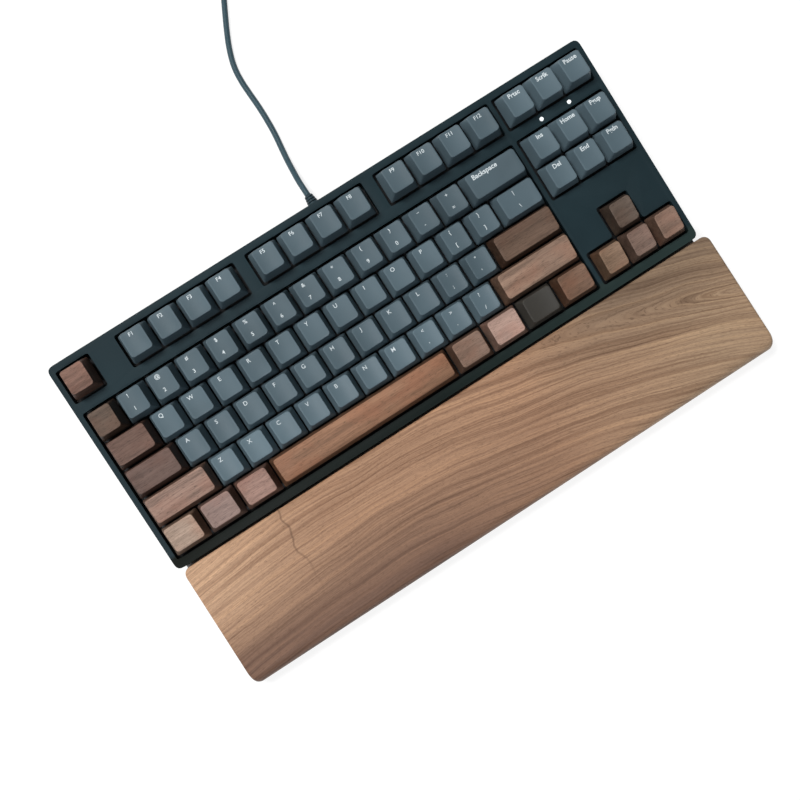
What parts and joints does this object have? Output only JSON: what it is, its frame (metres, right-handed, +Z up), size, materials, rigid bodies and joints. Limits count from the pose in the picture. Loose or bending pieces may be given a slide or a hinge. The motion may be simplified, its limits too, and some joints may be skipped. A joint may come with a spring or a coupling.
{
  "type": "mechanical keyboard",
  "caption": "Tenkeyless mechanical keyboard in a two-shell plastic case, with sprung grey and walnut keys, folding feet, a fixed cable and a loose walnut wrist rest.",
  "frame": {"origin": "on the desk, below the centre of the box around the keyboard and its wrist rest, without the cable", "axes": "+X to the user's right along the rows of keys, +Y from the wrist rest to the back of the case, +Z up from the desk"},
  "size_m": [0.3614, 0.3989, 0.0407],
  "materials": {
    "case_plastic": "fine-textured dark slate teal plastic",
    "key_grey": "lightly pebbled slate grey-blue keycap plastic",
    "key_olive": "dark olive-grey keycap",
    "key_walnut": "oiled walnut, fine grain",
    "rest_walnut": "oiled walnut, cathedral grain",
    "steel": "plain sheet steel and spring wire",
    "board": "green circuit board",
    "switch_plastic": "black moulded switch housings",
    "rubber": "matte black rubber",
    "cable_rubber": "dark blue-grey moulded rubber",
    "cable_sleeve": "dark blue-grey cable sleeve",
    "indicator": "milky white light pipe"
  },
  "bodies": {
    "case": {"top_case": "case_plastic", "bottom_case": "case_plastic", "pad_front_left": "rubber", "pad_front_right": "rubber", "pad_rear_left": "rubber", "pad_rear_right": "rubber", "switch_plate": "steel", "switch_bank": "switch_plastic", "circuit_board": "board", "indicator_left": "indicator", "indicator_right": "indicator", "cable_boot": "cable_rubber", "usb_cable": "cable_sleeve", "usb_cable_coil": "cable_sleeve", "usb_cable_tail": "cable_sleeve", "usb_plug_grip": "cable_rubber", "usb_plug_shell": "steel"},
    "key_escape": {"key_escape": "key_walnut"},
    "keys_f1_f4": {"keys_f1_f4": "key_grey"},
    "keys_f5_f8": {"keys_f5_f8": "key_grey"},
    "keys_f9_f12": {"keys_f9_f12": "key_grey"},
    "keys_print_pause": {"keys_print_pause": "key_grey"},
    "key_grave": {"key_grave": "key_walnut"},
    "keys_1_6": {"keys_1_6": "key_grey"},
    "keys_7_equals": {"keys_7_equals": "key_grey"},
    "key_backspace": {"key_backspace": "key_grey"},
    "keys_insert_pageup": {"keys_insert_pageup": "key_grey"},
    "key_tab": {"key_tab": "key_walnut"},
    "keys_q_y": {"keys_q_y": "key_grey"},
    "keys_u_backslash": {"keys_u_backslash": "key_grey"},
    "keys_delete_pagedown": {"keys_delete_pagedown": "key_grey"},
    "key_caps_lock": {"key_caps_lock": "key_walnut"},
    "keys_a_h": {"keys_a_h": "key_grey"},
    "keys_j_quote": {"keys_j_quote": "key_grey"},
    "key_enter": {"key_enter": "key_walnut"},
    "key_left_shift": {"key_left_shift": "key_walnut"},
    "keys_z_b": {"keys_z_b": "key_grey"},
    "keys_n_slash": {"keys_n_slash": "key_grey"},
    "key_right_shift": {"key_right_shift": "key_walnut"},
    "key_up": {"key_up": "key_walnut"},
    "key_left_ctrl": {"key_left_ctrl": "key_walnut"},
    "key_left_os": {"key_left_os": "key_walnut"},
    "key_left_alt": {"key_left_alt": "key_walnut"},
    "key_space": {"key_space": "key_walnut"},
    "key_right_alt": {"key_right_alt": "key_walnut"},
    "key_fn": {"key_fn": "key_walnut"},
    "key_menu": {"key_menu": "key_olive"},
    "key_right_ctrl": {"key_right_ctrl": "key_walnut"},
    "key_left": {"key_left": "key_walnut"},
    "key_down": {"key_down": "key_walnut"},
    "key_right": {"key_right": "key_walnut"},
    "stabiliser_backspace": {"stabiliser_backspace": "steel"},
    "stabiliser_enter": {"stabiliser_enter": "steel"},
    "stabiliser_left_shift": {"stabiliser_left_shift": "steel"},
    "stabiliser_right_shift": {"stabiliser_right_shift": "steel"},
    "stabiliser_space": {"stabiliser_space": "steel"},
    "foot_left": {"foot_left": "case_plastic"},
    "foot_right": {"foot_right": "case_plastic"},
    "wrist_rest": {"wrist_rest": "rest_walnut", "wrist_rest_pad": "rubber"}
  },
  "joints": [
    {"name": "key_escape_press", "type": "slide", "parent": "case", "child": "key_escape", "axis": [0, 0.0872, -0.9962], "range_m": [0, 0.004], "stiffness_N_per_m": 75, "springref_m": -0.004},
    {"name": "keys_f1_f4_press", "type": "slide", "parent": "case", "child": "keys_f1_f4", "axis": [0, 0.0872, -0.9962], "range_m": [0, 0.004], "stiffness_N_per_m": 300, "springref_m": -0.004},
    {"name": "keys_f5_f8_press", "type": "slide", "parent": "case", "child": "keys_f5_f8", "axis": [0, 0.0872, -0.9962], "range_m": [0, 0.004], "stiffness_N_per_m": 300, "springref_m": -0.004},
    {"name": "keys_f9_f12_press", "type": "slide", "parent": "case", "child": "keys_f9_f12", "axis": [0, 0.0872, -0.9962], "range_m": [0, 0.004], "stiffness_N_per_m": 300, "springref_m": -0.004},
    {"name": "keys_print_pause_press", "type": "slide", "parent": "case", "child": "keys_print_pause", "axis": [0, 0.0872, -0.9962], "range_m": [0, 0.004], "stiffness_N_per_m": 225, "springref_m": -0.004},
    {"name": "key_grave_press", "type": "slide", "parent": "case", "child": "key_grave", "axis": [0, 0.0872, -0.9962], "range_m": [0, 0.004], "stiffness_N_per_m": 75, "springref_m": -0.004},
    {"name": "keys_1_6_press", "type": "slide", "parent": "case", "child": "keys_1_6", "axis": [0, 0.0872, -0.9962], "range_m": [0, 0.004], "stiffness_N_per_m": 450, "springref_m": -0.004},
    {"name": "keys_7_equals_press", "type": "slide", "parent": "case", "child": "keys_7_equals", "axis": [0, 0.0872, -0.9962], "range_m": [0, 0.004], "stiffness_N_per_m": 450, "springref_m": -0.004},
    {"name": "key_backspace_press", "type": "slide", "parent": "case", "child": "key_backspace", "axis": [0, 0.0872, -0.9962], "range_m": [0, 0.004], "stiffness_N_per_m": 75, "springref_m": -0.004},
    {"name": "keys_insert_pageup_press", "type": "slide", "parent": "case", "child": "keys_insert_pageup", "axis": [0, 0.0872, -0.9962], "range_m": [0, 0.004], "stiffness_N_per_m": 225, "springref_m": -0.004},
    {"name": "key_tab_press", "type": "slide", "parent": "case", "child": "key_tab", "axis": [0, 0.0872, -0.9962], "range_m": [0, 0.004], "stiffness_N_per_m": 75, "springref_m": -0.004},
    {"name": "keys_q_y_press", "type": "slide", "parent": "case", "child": "keys_q_y", "axis": [0, 0.0872, -0.9962], "range_m": [0, 0.004], "stiffness_N_per_m": 450, "springref_m": -0.004},
    {"name": "keys_u_backslash_press", "type": "slide", "parent": "case", "child": "keys_u_backslash", "axis": [0, 0.0872, -0.9962], "range_m": [0, 0.004], "stiffness_N_per_m": 525, "springref_m": -0.004},
    {"name": "keys_delete_pagedown_press", "type": "slide", "parent": "case", "child": "keys_delete_pagedown", "axis": [0, 0.0872, -0.9962], "range_m": [0, 0.004], "stiffness_N_per_m": 225, "springref_m": -0.004},
    {"name": "key_caps_lock_press", "type": "slide", "parent": "case", "child": "key_caps_lock", "axis": [0, 0.0872, -0.9962], "range_m": [0, 0.004], "stiffness_N_per_m": 75, "springref_m": -0.004},
    {"name": "keys_a_h_press", "type": "slide", "parent": "case", "child": "keys_a_h", "axis": [0, 0.0872, -0.9962], "range_m": [0, 0.004], "stiffness_N_per_m": 450, "springref_m": -0.004},
    {"name": "keys_j_quote_press", "type": "slide", "parent": "case", "child": "keys_j_quote", "axis": [0, 0.0872, -0.9962], "range_m": [0, 0.004], "stiffness_N_per_m": 375, "springref_m": -0.004},
    {"name": "key_enter_press", "type": "slide", "parent": "case", "child": "key_enter", "axis": [0, 0.0872, -0.9962], "range_m": [0, 0.004], "stiffness_N_per_m": 75, "springref_m": -0.004},
    {"name": "key_left_shift_press", "type": "slide", "parent": "case", "child": "key_left_shift", "axis": [0, 0.0872, -0.9962], "range_m": [0, 0.004], "stiffness_N_per_m": 75, "springref_m": -0.004},
    {"name": "keys_z_b_press", "type": "slide", "parent": "case", "child": "keys_z_b", "axis": [0, 0.0872, -0.9962], "range_m": [0, 0.004], "stiffness_N_per_m": 375, "springref_m": -0.004},
    {"name": "keys_n_slash_press", "type": "slide", "parent": "case", "child": "keys_n_slash", "axis": [0, 0.0872, -0.9962], "range_m": [0, 0.004], "stiffness_N_per_m": 375, "springref_m": -0.004},
    {"name": "key_right_shift_press", "type": "slide", "parent": "case", "child": "key_right_shift", "axis": [0, 0.0872, -0.9962], "range_m": [0, 0.004], "stiffness_N_per_m": 75, "springref_m": -0.004},
    {"name": "key_up_press", "type": "slide", "parent": "case", "child": "key_up", "axis": [0, 0.0872, -0.9962], "range_m": [0, 0.004], "stiffness_N_per_m": 75, "springref_m": -0.004},
    {"name": "key_left_ctrl_press", "type": "slide", "parent": "case", "child": "key_left_ctrl", "axis": [0, 0.0872, -0.9962], "range_m": [0, 0.004], "stiffness_N_per_m": 75, "springref_m": -0.004},
    {"name": "key_left_os_press", "type": "slide", "parent": "case", "child": "key_left_os", "axis": [0, 0.0872, -0.9962], "range_m": [0, 0.004], "stiffness_N_per_m": 75, "springref_m": -0.004},
    {"name": "key_left_alt_press", "type": "slide", "parent": "case", "child": "key_left_alt", "axis": [0, 0.0872, -0.9962], "range_m": [0, 0.004], "stiffness_N_per_m": 75, "springref_m": -0.004},
    {"name": "key_space_press", "type": "slide", "parent": "case", "child": "key_space", "axis": [0, 0.0872, -0.9962], "range_m": [0, 0.004], "stiffness_N_per_m": 75, "springref_m": -0.004},
    {"name": "key_right_alt_press", "type": "slide", "parent": "case", "child": "key_right_alt", "axis": [0, 0.0872, -0.9962], "range_m": [0, 0.004], "stiffness_N_per_m": 75, "springref_m": -0.004},
    {"name": "key_fn_press", "type": "slide", "parent": "case", "child": "key_fn", "axis": [0, 0.0872, -0.9962], "range_m": [0, 0.004], "stiffness_N_per_m": 75, "springref_m": -0.004},
    {"name": "key_menu_press", "type": "slide", "parent": "case", "child": "key_menu", "axis": [0, 0.0872, -0.9962], "range_m": [0, 0.004], "stiffness_N_per_m": 75, "springref_m": -0.004},
    {"name": "key_right_ctrl_press", "type": "slide", "parent": "case", "child": "key_right_ctrl", "axis": [0, 0.0872, -0.9962], "range_m": [0, 0.004], "stiffness_N_per_m": 75, "springref_m": -0.004},
    {"name": "key_left_press", "type": "slide", "parent": "case", "child": "key_left", "axis": [0, 0.0872, -0.9962], "range_m": [0, 0.004], "stiffness_N_per_m": 75, "springref_m": -0.004},
    {"name": "key_down_press", "type": "slide", "parent": "case", "child": "key_down", "axis": [0, 0.0872, -0.9962], "range_m": [0, 0.004], "stiffness_N_per_m": 75, "springref_m": -0.004},
    {"name": "key_right_press", "type": "slide", "parent": "case", "child": "key_right", "axis": [0, 0.0872, -0.9962], "range_m": [0, 0.004], "stiffness_N_per_m": 75, "springref_m": -0.004},
    {"name": "stabiliser_backspace_turn", "type": "hinge", "parent": "case", "child": "stabiliser_backspace", "pos_m": [-0.00275, 0.0555, 0.01705], "axis": [-1, 0, 0], "range_deg": [0, 22.8]},
    {"name": "stabiliser_enter_turn", "type": "hinge", "parent": "case", "child": "stabiliser_enter", "pos_m": [-0.00275, 0.01754, 0.01373], "axis": [-1, 0, 0], "range_deg": [0, 22.8]},
    {"name": "stabiliser_left_shift_turn", "type": "hinge", "parent": "case", "child": "stabiliser_left_shift", "pos_m": [-0.00275, -0.00144, 0.01207], "axis": [-1, 0, 0], "range_deg": [0, 22.8]},
    {"name": "stabiliser_right_shift_turn", "type": "hinge", "parent": "case", "child": "stabiliser_right_shift", "pos_m": [-0.00275, -0.00144, 0.01207], "axis": [-1, 0, 0], "range_deg": [0, 22.8]},
    {"name": "stabiliser_space_turn", "type": "hinge", "parent": "case", "child": "stabiliser_space", "pos_m": [-0.00275, -0.02041, 0.01041], "axis": [-1, 0, 0], "range_deg": [0, 22.8]},
    {"name": "foot_left_fold", "type": "hinge", "parent": "case", "child": "foot_left", "pos_m": [-0.14075, 0.09125, 0.0042], "axis": [1, 0, 0], "range_deg": [0, 100]},
    {"name": "foot_right_fold", "type": "hinge", "parent": "case", "child": "foot_right", "pos_m": [0.13525, 0.09125, 0.0042], "axis": [1, 0, 0], "range_deg": [0, 100]},
    {"name": "wrist_rest_slide", "type": "slide", "parent": "case", "child": "wrist_rest", "axis": [0, -1, 0], "range_m": [0, 0.03]}
  ],
  "couplings": [
    {"joint": "stabiliser_backspace_turn", "follows": "key_backspace_press", "rad_per_m": 98.5},
    {"joint": "stabiliser_enter_turn", "follows": "key_enter_press", "rad_per_m": 98.5},
    {"joint": "stabiliser_left_shift_turn", "follows": "key_left_shift_press", "rad_per_m": 98.5},
    {"joint": "stabiliser_right_shift_turn", "follows": "key_right_shift_press", "rad_per_m": 98.5},
    {"joint": "stabiliser_space_turn", "follows": "key_space_press", "rad_per_m": 98.5}
  ]
}
